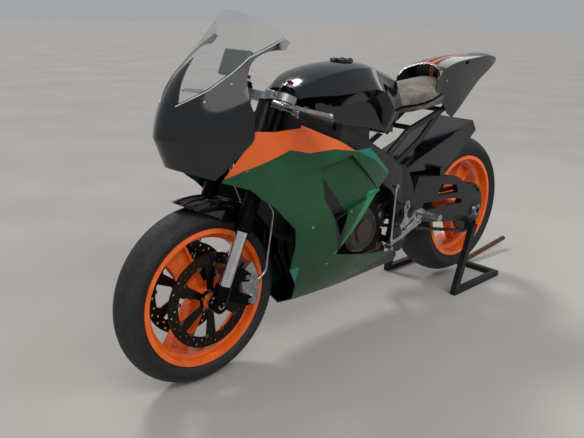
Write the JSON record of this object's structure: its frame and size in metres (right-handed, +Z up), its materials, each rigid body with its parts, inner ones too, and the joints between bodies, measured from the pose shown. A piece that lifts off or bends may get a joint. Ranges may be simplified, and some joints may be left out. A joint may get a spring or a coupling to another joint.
{
  "type": "sport motorcycle in race trim",
  "caption": "Two-wheeled racing motorcycle with full fairing, screen, clip-on bars and solo seat, held upright by its rear paddock stand; steering and both wheels turn",
  "frame": {"origin": "middle of the motorcycle and stand's bounding box, on the floor", "axes": "+X forward, +Y to the rider's left, +Z up"},
  "size_m": [2.29, 0.738, 1.1884],
  "materials": {
    "black_gloss": "glossy black bodywork",
    "orange_panel": "glossy orange over green side panels",
    "teal_panel": "glossy teal and black belly",
    "smoked_screen": "lightly smoked clear acrylic",
    "tank_black": "glossy black paint",
    "seat_foam": "worn closed-cell foam",
    "frame_black": "satin black coating on alloy",
    "orange_wheel": "glossy orange coating on cast alloy",
    "tyre_rubber": "slick race rubber",
    "disc_iron": "dark swept steel",
    "fork_black": "black anodised",
    "fork_chrome": "hard chromed tube",
    "silver_alloy": "bare machined alloy",
    "grip_rubber": "soft ribbed rubber",
    "engine_alloy": "dark cast alloy",
    "cover_brown": "bronze-brown painted cast cover",
    "chain_steel": "oiled steel",
    "exhaust_steel": "heat-tinted steel",
    "radiator_alloy": "black finned core",
    "spring_paint": "coated spring and damper",
    "matte_black": "matt black moulding",
    "stand_black": "worn black paint on steel tube"
  },
  "bodies": {
    "chassis": {"airbox": "matte_black", "belly_left": "teal_panel", "belly_right": "teal_panel", "chain": "chain_steel", "engine": "engine_alloy", "engine_covers": "cover_brown", "exhaust": "exhaust_steel", "fairing_nose": "black_gloss", "fairing_side_left": "orange_panel", "fairing_side_right": "orange_panel", "fairing_stay": "matte_black", "frame": "frame_black", "front_sprocket": "chain_steel", "fuel_tank": "tank_black", "hugger": "black_gloss", "paddock_stand": "stand_black", "radiator": "radiator_alloy", "rear_axle": "silver_alloy", "rear_caliper": "silver_alloy", "rear_shock": "spring_paint", "rearset_left": "silver_alloy", "rearset_right": "silver_alloy", "seat_pad": "seat_foam", "stand_spools": "matte_black", "subframe": "frame_black", "swingarm": "frame_black", "tail_cowl": "black_gloss", "windscreen": "smoked_screen"},
    "fork": {"fork_bottoms": "fork_black", "fork_sliders": "fork_chrome", "fork_tubes": "fork_black", "front_axle": "silver_alloy", "front_calipers": "silver_alloy", "front_fender": "black_gloss", "grips": "grip_rubber", "handlebars": "silver_alloy", "levers": "silver_alloy", "yokes": "silver_alloy"},
    "front_wheel": {"front_tyre": "tyre_rubber", "front_rim": "orange_wheel", "front_discs": "disc_iron"},
    "rear_wheel": {"rear_tyre": "tyre_rubber", "rear_rim": "orange_wheel", "rear_disc": "disc_iron", "rear_sprocket": "disc_iron"}
  },
  "joints": [
    {"name": "steering", "type": "hinge", "parent": "chassis", "child": "fork", "pos_m": [0.81694, 0, 0.2878], "axis": [-0.3987, 0, 0.9171], "range_deg": [-25, 25]},
    {"name": "front_wheel_spin", "type": "hinge", "parent": "fork", "child": "front_wheel", "pos_m": [0.845, 0, 0.3], "axis": [0, 1, 0], "continuous": true},
    {"name": "rear_wheel_spin", "type": "hinge", "parent": "chassis", "child": "rear_wheel", "pos_m": [-0.559, 0, 0.355], "axis": [0, 1, 0], "continuous": true}
  ]
}
